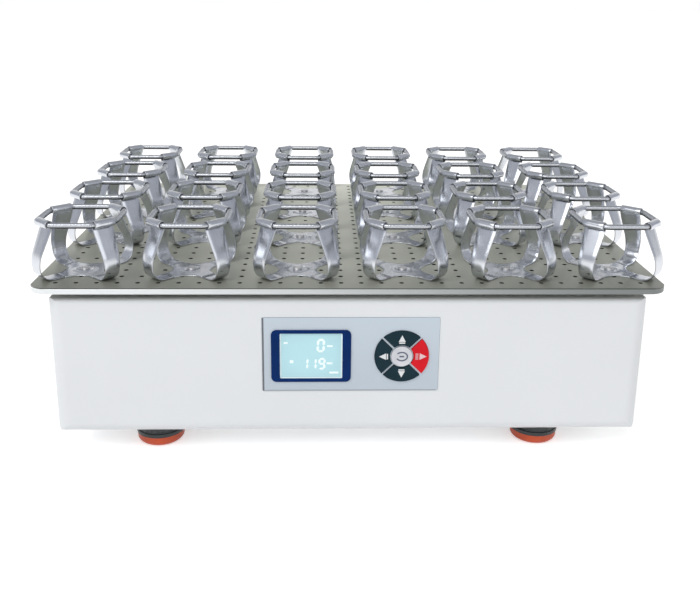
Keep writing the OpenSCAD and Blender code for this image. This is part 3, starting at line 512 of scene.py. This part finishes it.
NODE_PAINT = {
    "housing": WHITE, "base_pan": ZINC, "case_fasteners": BRIGHT, "foot_collars": COLLAR, "foot_pads": ORANGE,
    "control_panel": FILM, "display_bezel": BEZEL, "display": LCD,
    "key_up": KEY_DARK, "key_left": KEY_DARK, "key_down": KEY_DARK, "key_right": KEY_RED, "key_centre": KEY_GREY,
    "control_board": BOARD, "power_inlet": INLET, "power_switch": ROCKER, "power_supply": ZINC,
    "drive_motor": MOTOR, "motor_pulley": CAST, "drive_belt": BELT, "bearing_housing": CAST, "shaft_bearings": BRIGHT,
    "crankshaft": STEEL, "driven_pulley": CAST, "carrier": CAST, "pin_bearings": BRIGHT, "idler_housings": CAST,
    "idler_rear_right": STEEL, "idler_rear_left": STEEL, "idler_front_left": STEEL, "idler_front_right": STEEL,
    "tray": TRAY, "tray_screws": BLACK_SCREW, "clamp_screws": BRIGHT,
}


def paint_nodes():
    """Gives each CAD node that stays its material."""
    for name, material in NODE_PAINT.items():
        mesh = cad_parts[name].data
        mesh.materials.clear()
        mesh.materials.append(material)


# Mesh tools
def mesh_piece(name, points, faces, material, body, node=None, uv=None, uv_name=None, smooth=True):
    """Makes a piece from points and faces, with a UV value for each point, and lets it ride on a body."""
    mesh = bpy.data.meshes.new(name)
    mesh.from_pydata(np.asarray(points).tolist(), [], [list(map(int, f)) for f in faces])
    if uv is not None:
        layer = mesh.uv_layers.new(name=uv_name)
        corner = np.empty(len(mesh.loops), dtype=np.int32)
        mesh.loops.foreach_get("vertex_index", corner)
        layer.data.foreach_set("uv", np.asarray(uv, dtype=np.float32)[corner].ravel())
    mesh.polygons.foreach_set("use_smooth", np.full(len(mesh.polygons), smooth))
    mesh.materials.append(material)
    mesh.update()
    piece = bpy.data.objects.new(name, mesh)
    bpy.context.scene.collection.objects.link(piece)
    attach(piece, body)
    if node:
        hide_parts(node)
    return piece


def grid_faces(rows, cols, wrap_rows=False):
    """Quads of a grid of points, where each row closes on itself, and the last row on the first if they wrap."""
    i = np.arange(rows if wrap_rows else rows - 1)[:, None]
    j = np.arange(cols)[None, :]
    near = i * cols
    far = (i + 1) % rows * cols
    right = (j + 1) % cols
    return np.stack([near + j, near + right, far + right, far + j], axis=-1).reshape(-1, 4)


def arc_points(centre, radius, start, turn, count):
    """Points on an arc: the centre plus the radius at angles from start to start plus turn."""
    angle = start + turn * np.linspace(0, 1, count)
    return np.stack([centre[0] + radius * np.cos(angle), centre[1] + radius * np.sin(angle)], axis=1)


def lengths(line):
    """Length along a line up to each of its points: the sum of the steps before it."""
    return np.concatenate([[0], np.cumsum(np.linalg.norm(np.diff(line, axis=0), axis=1))])


def turned(points, angle):
    """Points in plan or in space, turned about the origin or the upright axis."""
    c, s = math.cos(angle), math.sin(angle)
    matrix = np.eye(points.shape[-1])
    matrix[:2, :2] = (c, s), (-s, c)
    return points @ matrix


def four_times(points):
    """Points in plan, followed by their copies after one, two and three quarter turns."""
    return np.concatenate([turned(points, k * math.pi / 2) for k in range(4)])


# Flask clamps
def strip_path():
    """Middle line of an arm in its upright plane, with the heading at each point, in metres.

    The line runs straight along the tray, turns left twice round the flask, leans in, and curls to the right."""
    pieces = []
    start = np.array([FOOT_START, STRIP_T / 2])
    heading = 0.0

    def run(length, count):
        """Straight on."""
        nonlocal start
        step = np.linspace(0, length, count)[:, None] * np.array([math.cos(heading), math.sin(heading)])
        pieces.append((start + step, np.full(count, heading)))
        start = start + step[-1]

    def bend(radius, turn, count):
        """Along an arc, to the left if its turn is positive."""
        nonlocal start, heading
        side = 1 if turn > 0 else -1
        centre = start + side * radius * np.array([-math.sin(heading), math.cos(heading)])
        points = arc_points(centre, radius, heading - side * math.pi / 2, turn, count)
        pieces.append((points, heading + turn * np.linspace(0, 1, count)))
        start, heading = points[-1], heading + turn

    run(FOOT_L - FOOT_START, ARM_POINTS["foot"])
    bend(FOOT_BEND_R, FOOT_BEND_A, ARM_POINTS["foot_bend"])
    bend(BULGE_R, BULGE_A, ARM_POINTS["bulge"])
    run(LEAN_L, ARM_POINTS["lean"])
    bend(CURL_R, -CURL_A, ARM_POINTS["curl"])
    points = np.concatenate([p if i == 0 else p[1:] for i, (p, _) in enumerate(pieces)])
    angles = np.concatenate([a if i == 0 else a[1:] for i, (_, a) in enumerate(pieces)])
    return points, angles


def strip_section(width):
    """Outline of the strip across its length: flat faces with rolled edges, as (across, through) pairs."""
    half, edge = width / 2, STRIP_T / 2
    right = arc_points((half - edge, 0), edge, -math.pi / 2, math.pi, SECTION_POINTS)
    inner = np.linspace(half - edge, edge - half, SECTION_POINTS)[1:-1]
    top = np.stack([inner, np.full(len(inner), edge)], axis=1)
    return np.concatenate([right, top, -right, -top])


def arm_mesh():
    """One arm along +X: each path point carries the section, turned square to the path."""
    path, heading = strip_path()
    width = FOOT_W + (TOP_W - FOOT_W) * np.clip((path[:, 1] - TAPER_Z) / (FULL_Z - TAPER_Z), 0, 1)
    section = np.stack([strip_section(w) for w in width])
    across, through = section[..., 0], section[..., 1]
    x = path[:, 0, None] - through * np.sin(heading)[:, None]
    z = path[:, 1, None] + through * np.cos(heading)[:, None]
    points = np.stack([x, across, z], axis=-1)
    rows, cols = across.shape
    faces = [list(f) for f in grid_faces(rows, cols)]
    faces.append(list(range(cols))[::-1])
    faces.append([(rows - 1) * cols + j for j in range(cols)])
    share = across / (width[:, None] / 2)
    uv = np.stack([np.broadcast_to(lengths(path)[:, None], across.shape), share], axis=-1)
    return points.reshape(-1, 3), faces, uv.reshape(-1, 2)


def web_outline():
    """Outline of the clamp base: from foot to foot round a hollow arc that meets both feet square."""
    reach = WEB_R + FOOT_W / 2
    centre = reach * math.sqrt(2)
    return four_times(arc_points((centre, 0), WEB_R, math.radians(225), -math.radians(90), WEB_POINTS))


def base_mesh():
    """Base plate of the clamp: loops from its bore to its outline, closed underneath.

    The top stands at the strip's thickness plus a pressed ring, a bell curve of the distance from the screw."""
    outer = web_outline()
    count = len(outer)
    angle = np.arctan2(outer[:, 1], outer[:, 0])
    inner = WEB_BORE_R * np.stack([np.cos(angle), np.sin(angle)], axis=1)
    edge = outer - outer / np.linalg.norm(outer, axis=1)[:, None] * WEB_ROLL
    share = np.linspace(1, 0, BASE_RINGS)[:, None, None]
    top = inner + (edge - inner) * share
    rise = RING_H * np.exp(-(((np.linalg.norm(top, axis=-1) - RING_AT) / RING_WIDE) ** 2))
    loops = [np.column_stack([inner, np.zeros(count)]), np.column_stack([outer, np.zeros(count)])]
    loops.append(np.column_stack([outer, np.full(count, STRIP_T - WEB_ROLL)]))
    loops += [np.column_stack([loop, STRIP_T + z]) for loop, z in zip(top, rise)]
    points = np.concatenate(loops)
    faces = [list(f) for f in grid_faces(len(loops), count, wrap_rows=True)]
    return points, faces, points[:, :2] / BASE_GRAIN


def joined(parts):
    """Several meshes as one: points, faces with shifted numbers, and UV values."""
    shift, points, faces, uv = 0, [], [], []
    for p, f, t in parts:
        points.append(p)
        faces += [[v + shift for v in face] for face in f]
        uv.append(t)
        shift += len(p)
    return np.concatenate(points), faces, np.concatenate(uv)


def clamp_mesh():
    """Base plate and four arms on the diagonals."""
    arm_points, arm_faces, arm_uv = arm_mesh()
    arms = [(turned(arm_points, math.radians(45 + 90 * k)), arm_faces, arm_uv) for k in range(4)]
    return joined([base_mesh()] + arms)


def curl_centre():
    """Middle of the curl in the arm's plane: its radius to the right of the point where it starts."""
    points, headings = strip_path()
    start, heading = points[-ARM_POINTS["curl"]], headings[-ARM_POINTS["curl"]]
    return start + CURL_R * np.array([math.sin(heading), -math.cos(heading)])


def spring_path():
    """Middle line of the spring ring, counter-clockwise: eight straight sides joined by arcs, evenly sampled."""
    across = curl_centre()[0]
    ring = (across + SPRING_SIDE / 2) / math.sqrt(2)
    half = (across - SPRING_SIDE / 2) / math.sqrt(2)
    cut = SPRING_BEND_R * math.tan(math.pi / 8)
    corners = four_times(np.array([[-half, -ring], [half, -ring]]))
    line = []
    for k, corner in enumerate(corners):
        before = corner - corners[k - 1]
        start = corner - before / np.linalg.norm(before) * cut
        heading = math.atan2(before[1], before[0])
        centre = start + SPRING_BEND_R * np.array([-math.sin(heading), math.cos(heading)])
        line.append(arc_points(centre, SPRING_BEND_R, heading - math.pi / 2, math.pi / 4, CORNER_POINTS))
    line = np.concatenate(line + [line[0][:1]])
    length = lengths(line)
    coils = round(length[-1] / COIL_PITCH)
    at = np.linspace(0, length[-1], coils * SAMPLES_PER_COIL, endpoint=False)
    return np.stack([np.interp(at, length, line[:, 0]), np.interp(at, length, line[:, 1])], axis=1), coils


def spring_mesh():
    """Spring tube whose radius swells at each coil: a cosine wave along the ring that runs round like a thread."""
    path, coils = spring_path()
    count = len(path)
    tangent = np.roll(path, -1, axis=0) - np.roll(path, 1, axis=0)
    tangent /= np.linalg.norm(tangent, axis=1)[:, None]
    away = np.stack([tangent[:, 1], -tangent[:, 0]], axis=1)
    phi = 2 * math.pi * np.arange(SPRING_SIDES) / SPRING_SIDES
    wave = 2 * math.pi * coils * np.arange(count)[:, None] / count + phi[None, :]
    ridge = 0.5 + 0.5 * np.cos(wave)
    radius = SPRING_R - COIL_DEPTH * (1 - ridge)
    plan = path[:, None] + away[:, None] * (radius * np.cos(phi))[..., None]
    height = curl_centre()[1] + radius * np.sin(phi)
    points = np.concatenate([plan, height[..., None]], axis=-1)
    uv = np.stack([np.broadcast_to(np.sin(phi), ridge.shape), ridge], axis=-1)
    return points.reshape(-1, 3), grid_faces(count, SPRING_SIDES, wrap_rows=True)[:, ::-1], uv.reshape(-1, 2)


def make_clamps():
    """Every clamp as a stamping over its node and a spring ring in its curls."""
    strip_points, strip_faces, strip_uv = clamp_mesh()
    coil_points, coil_faces, coil_uv = spring_mesh()
    for row in range(1, CLAMP_ROWS + 1):
        springs = "garter_springs_front" if row <= math.ceil(CLAMP_ROWS / 2) else "garter_springs_rear"
        for col in range(1, CLAMP_COLS + 1):
            tag = f"r{row}c{col}"
            node = f"flask_clamp_{tag}"
            low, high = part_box(node)
            place = np.array([(low[0] + high[0]) / 2, (low[1] + high[1]) / 2, low[2]])
            stamping = mesh_piece(
                f"clamp_stamping_{tag}", strip_points + place, strip_faces, STRIP, "platform", node, strip_uv, "strip"
            )
            spring = mesh_piece(
                f"clamp_spring_{tag}", coil_points + place, coil_faces, SPRING, "platform", springs, coil_uv, "coil"
            )


# Printing, and lines of painted shade, on the front
FRONT_PLATE_T = 0.12 * MM


def front_plate(name, outline, front_y, material, body):
    """Printed plate, or a plate of painted shade, from an outline in x and z, that stands proud of a front face by
    its thickness.
    """
    count = len(outline)
    x, z = np.asarray(outline).T
    near = np.column_stack([x, np.full(count, front_y - FRONT_PLATE_T), z])
    far = np.column_stack([x, np.full(count, front_y), z])
    faces = [list(range(count)), list(range(2 * count - 1, count - 1, -1))]
    faces += [[i, i + count, (i + 1) % count + count, (i + 1) % count] for i in range(count)]
    piece = mesh_piece(name, np.concatenate([near, far]), faces, material, body, smooth=False)
    outward(piece)
    return piece


def outward(piece):
    """Turns all faces of a closed piece outwards."""
    work = bmesh.new()
    work.from_mesh(piece.data)
    bmesh.ops.recalc_face_normals(work, faces=work.faces)
    work.to_mesh(piece.data)
    work.free()


def rectangle(x, z, w, h):
    """Corners of a rectangle about a point."""
    return [(x - w / 2, z - h / 2), (x + w / 2, z - h / 2), (x + w / 2, z + h / 2), (x - w / 2, z + h / 2)]


# Figures: lit segments of each, size, width of a segment, how far its points are cut back, and lean
SEGMENTS = {"0": "abcdef", "1": "bc", "9": "abcdfg"}
DIGIT_W = 5.4 * MM
DIGIT_H = 11.4 * MM
STROKE = 2.3 * MM
SEGMENT_GAP = 0.12
LEAN = 0.05
# Figures on the display: name, figure, place to the right of and over its middle in mm, and size
FIGURES = (
    ("speed", "0", 9.1, 10.4, 1.0),
    ("time_a", "1", -5.9, -8.0, 0.87), ("time_b", "1", 1.9, -8.0, 0.87), ("time_c", "9", 10.1, -8.0, 0.87),
)
# Marks on the display: place in mm as above, width and height
MARKS = (
    (17.5, 9.8, 5.4, 1.8), (17.3, -7.6, 5.4, 1.8), (-23.7, 13.0, 3.6, 1.8),
    (-18.3, -5.8, 3.4, 3.0), (21.5, -17.0, 8.6, 1.9),
)


def segment_bar(x0, z0, x1, z1, stroke):
    """Bar with pointed ends, each a little short of its point."""
    a, b = np.array([x0, z0]), np.array([x1, z1])
    along = (b - a) / np.linalg.norm(b - a)
    side = np.array([-along[1], along[0]]) * stroke / 2
    tip = along * stroke / 2
    a, b = a + tip * SEGMENT_GAP, b - tip * SEGMENT_GAP
    return [a, a + tip - side, b - tip - side, b, b - tip + side, a + tip + side]


def make_figure(name, figure, x, z, front_y, size):
    """Seven-segment figure about x and z, one bar for each lit segment."""
    w, h = size * DIGIT_W / 2, size * DIGIT_H / 2
    spans = {
        "a": (-w, h, w, h), "b": (w, 0, w, h), "c": (w, -h, w, 0), "d": (-w, -h, w, -h),
        "e": (-w, -h, -w, 0), "f": (-w, 0, -w, h), "g": (-w, 0, w, 0),
    }
    for letter in SEGMENTS[figure]:
        bar = [(x + u + LEAN * v, z + v) for u, v in segment_bar(*spans[letter], size * STROKE)]
        front_plate(f"{name}_{letter}", bar, front_y, SEGMENT, "base")


def make_display():
    """Figures and marks on the display."""
    low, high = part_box("display")
    x, z, front = (low[0] + high[0]) / 2, (low[2] + high[2]) / 2, low[1]
    for name, figure, dx, dz, size in FIGURES:
        make_figure(f"figure_{name}", figure, x + dx * MM, z + dz * MM, front, size)
    for k, (dx, dz, w, h) in enumerate(MARKS):
        mark = rectangle(x + dx * MM, z + dz * MM, w * MM, h * MM)
        front_plate(f"display_mark_{k}", mark, front, SEGMENT, "base")


# Icons on the outer keys: distance from the middle of the keypad, size, and how much shorter the arrow itself is
KEY_ICON_AT = 17.6 * MM
KEY_ARROW_W = 6.6 * MM
KEY_ARROW_L = 7.6 * MM
KEY_ARROW_CUT = 1.0 * MM
# What stands behind an arrow: how far the arrow makes room for it, its place behind the arrow, length and width
KEY_BACKS = {
    "bar": (1.0 * MM, 1.2 * MM, 1.3 * MM, 0.85 * KEY_ARROW_W),
    "block": (3.0 * MM, 2.6 * MM, 2.8 * MM, KEY_ARROW_W),
}
# Key, way its arrow points in degrees, what stands behind it, both inks, and finish of the key
KEY_ICONS = (
    ("up", 90, "bar", INK_PALE, INK_PALE, "key_dark"),
    ("left", 180, "bar", INK_PALE, INK_PALE, "key_dark"),
    ("down", 270, "bar", INK_PALE, INK_PALE, "key_dark"),
    ("right", 0, "block", INK_PINK, INK_ROSE, "key_red"),
)
# Return arrow on the centre key: half width and half height, line, sweep and points, and size of its mark
RETURN_SIZE = np.array([5.9, 4.8]) * MM
RETURN_LINE = 1.25 * MM
RETURN_SWEEP_DEG = (-150, 140)
RETURN_POINTS = 36
RETURN_MARK = (4.4 * MM, 1.4 * MM)
# Lines of painted shade on the panel film: place of the line's middle from the film's edge, thickness, and length
# left out
SHADE_LINE_LEFT = (0.9 * MM, 1.5 * MM, 0.6 * MM)
SHADE_LINE_FOOT = (0.7 * MM, 0.9 * MM, 3.4 * MM)


def make_key_icons():
    """Arrows on the four outer keys, and on the centre key a return arrow: an oval line from angle to angle."""
    low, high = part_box("key_centre")
    x, z, front = (low[0] + high[0]) / 2, (low[2] + high[2]) / 2, low[1]
    for name, turn, kind, ink, back_ink, finish in KEY_ICONS:
        room, behind, length, width = KEY_BACKS[kind]
        base = KEY_ICON_AT - KEY_ARROW_L / 2 + room
        tip = [(base, -KEY_ARROW_W / 2), (base + KEY_ARROW_L - KEY_ARROW_CUT, 0), (base, KEY_ARROW_W / 2)]
        back = rectangle(base - behind, 0, length, width)
        for piece, outline, colour in ((f"icon_{name}", tip, ink), (f"icon_{name}_{kind}", back, back_ink)):
            placed = turned(np.array(outline), math.radians(turn)) + (x, z)
            front_plate(piece, placed, front, colour, f"key_{name}_button")
    sweep = np.radians(np.linspace(*RETURN_SWEEP_DEG, RETURN_POINTS))
    oval = np.stack([np.cos(sweep), np.sin(sweep)], axis=1)
    arrow = np.concatenate([oval * RETURN_SIZE, oval[::-1] * (RETURN_SIZE - RETURN_LINE)]) + (x, z)
    front_plate("icon_return", arrow, front, INK_SLATE, "key_centre_button")
    mark = rectangle(x, z, *RETURN_MARK)
    front_plate("icon_return_mark", mark, front, INK_SLATE, "key_centre_button")


def make_panel_shade_lines():
    """Painted shade: a dark line down the left end of the panel film and a grey one along its foot."""
    low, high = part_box("control_panel")
    x, z, wide, tall = (low[0] + high[0]) / 2, (low[2] + high[2]) / 2, high[0] - low[0], high[2] - low[2]
    inset, thick, short = SHADE_LINE_LEFT
    left = rectangle(low[0] + inset, z, thick, tall - short)
    inset, thick, short = SHADE_LINE_FOOT
    foot = rectangle(x, low[2] + inset, wide - short, thick)
    # Lines of painted shade on the panel film
    front_plate("panel_shade_left", left, low[1], SHADE_LINE_DARK, "base")
    front_plate("panel_shade_foot", foot, low[1], SHADE_LINE_GREY, "base")


# Studio: rays that see its brightness, while all others only take its light
SEEN_BY = ("Is Camera Ray", "Is Glossy Ray", "Is Transmission Ray")


def make_floor():
    """Pale floor, wide enough to fill the view."""
    mesh = bpy.data.meshes.new("floor")
    corners = [(x * FLOOR_SIZE, y * FLOOR_SIZE, 0) for x, y in ((-1, -1), (1, -1), (1, 1), (-1, 1))]
    mesh.from_pydata(corners, [], [(0, 1, 2, 3)])
    paint = Paint("floor_pale", grey(FLOOR_PALE), roughness=0.9, specular_ior_level=0.05, emission_strength=1.0)
    haze_scale = 1.5
    haze = paint.noise(paint.place(), haze_scale, 2.0)
    paint.set("Base Color", paint.mix(haze, grey(FLOOR_PALE - FLOOR_DRIFT), grey(FLOOR_PALE + FLOOR_DRIFT)))
    seen = sum(paint.node("ShaderNodeLightPath", name) for name in SEEN_BY)
    paint.set("Emission Color", paint.mix(seen.clamped(), (0, 0, 0), grey(FLOOR_GLOW)))
    mesh.materials.append(paint.material)
    floor = bpy.data.objects.new("floor", mesh)
    bpy.context.scene.collection.objects.link(floor)


def make_world():
    """White to the camera, and plain light from all round.

    Reflections see it white at the horizon, and grey at either side and overhead."""
    world = bpy.data.worlds.new("studio")
    bpy.context.scene.world = world
    world.use_nodes = True
    sky = Tree(world.node_tree)
    sky.tree.nodes.clear()
    facing = sky.node("ShaderNodeTexCoord", "Generated")
    up, side = sky.axis(facing, "Z"), sky.axis(facing, "X").abs()
    path = {name: sky.node("ShaderNodeLightPath", name) for name in SEEN_BY}
    mirrored = path["Is Glossy Ray"] + path["Is Transmission Ray"]
    tone = sky.mix(up.step(*OVERHEAD_RISE), (1, 1, 1), OVERHEAD)
    tone = sky.mix(side.step(*FLAG_START) * up.step(*FLAG_RISE), tone, SIDE_FLAG)
    lit = sky.mix(mirrored.clamped(), grey(WORLD_LIGHT), tone)
    colour = sky.mix(path["Is Camera Ray"], lit, (1, 1, 1))
    back = sky.node("ShaderNodeBackground", 0, {"Color": colour})
    out = sky.tree.nodes.new("ShaderNodeOutputWorld")
    sky.put(back, out.inputs["Surface"])


def area_lamp(name, at, size, watts):
    """Square area lamp at a point, turned to face the object."""
    data = bpy.data.lights.new(name, "AREA")
    data.shape = "SQUARE"
    data.size = size
    data.energy = watts
    lamp = bpy.data.objects.new(name, data)
    lamp.location = at
    lamp.rotation_euler = (Vector(LAMP_TARGET) - Vector(at)).to_track_quat("-Z", "Y").to_euler()
    bpy.context.scene.collection.objects.link(lamp)


def make_lamps():
    """A wide soft sun from the front left, and the area lamps."""
    sun = bpy.data.lights.new("soft_sun", "SUN")
    sun.energy = SUN_LIGHT
    sun.angle = math.radians(SUN_SPREAD_DEG)
    lamp = bpy.data.objects.new("soft_sun", sun)
    lamp.rotation_euler = Vector(SUN_HEADING).to_track_quat("-Z", "Y").to_euler()
    bpy.context.scene.collection.objects.link(lamp)
    for name, (place, size, watts) in LAMPS.items():
        area_lamp(name, place, size, watts)


def make_camera():
    """Camera at the photograph's place, with a small downward shift so that uprights stay nearly upright."""
    data = bpy.data.cameras.new("camera")
    data.sensor_width = SENSOR_MM
    data.lens = LENS_PX * SENSOR_MM / IMAGE_W
    data.shift_y = -SHIFT_PX / IMAGE_W
    data.clip_start, data.clip_end = CLIP
    camera = bpy.data.objects.new("camera", data)
    camera.location = CAMERA_AT
    aim = Euler((math.radians(90 - PITCH_DEG), 0, -math.radians(YAW_DEG))).to_matrix()
    camera.rotation_euler = (aim @ Matrix.Rotation(math.radians(ROLL_DEG), 3, "Z")).to_euler()
    bpy.context.scene.collection.objects.link(camera)
    bpy.context.scene.camera = camera


make_camera()
make_world()
make_lamps()
make_floor()
paint_nodes()
make_clamps()
make_display()
make_key_icons()
make_panel_shade_lines()
bpy.context.scene.view_settings.view_transform = "Standard"
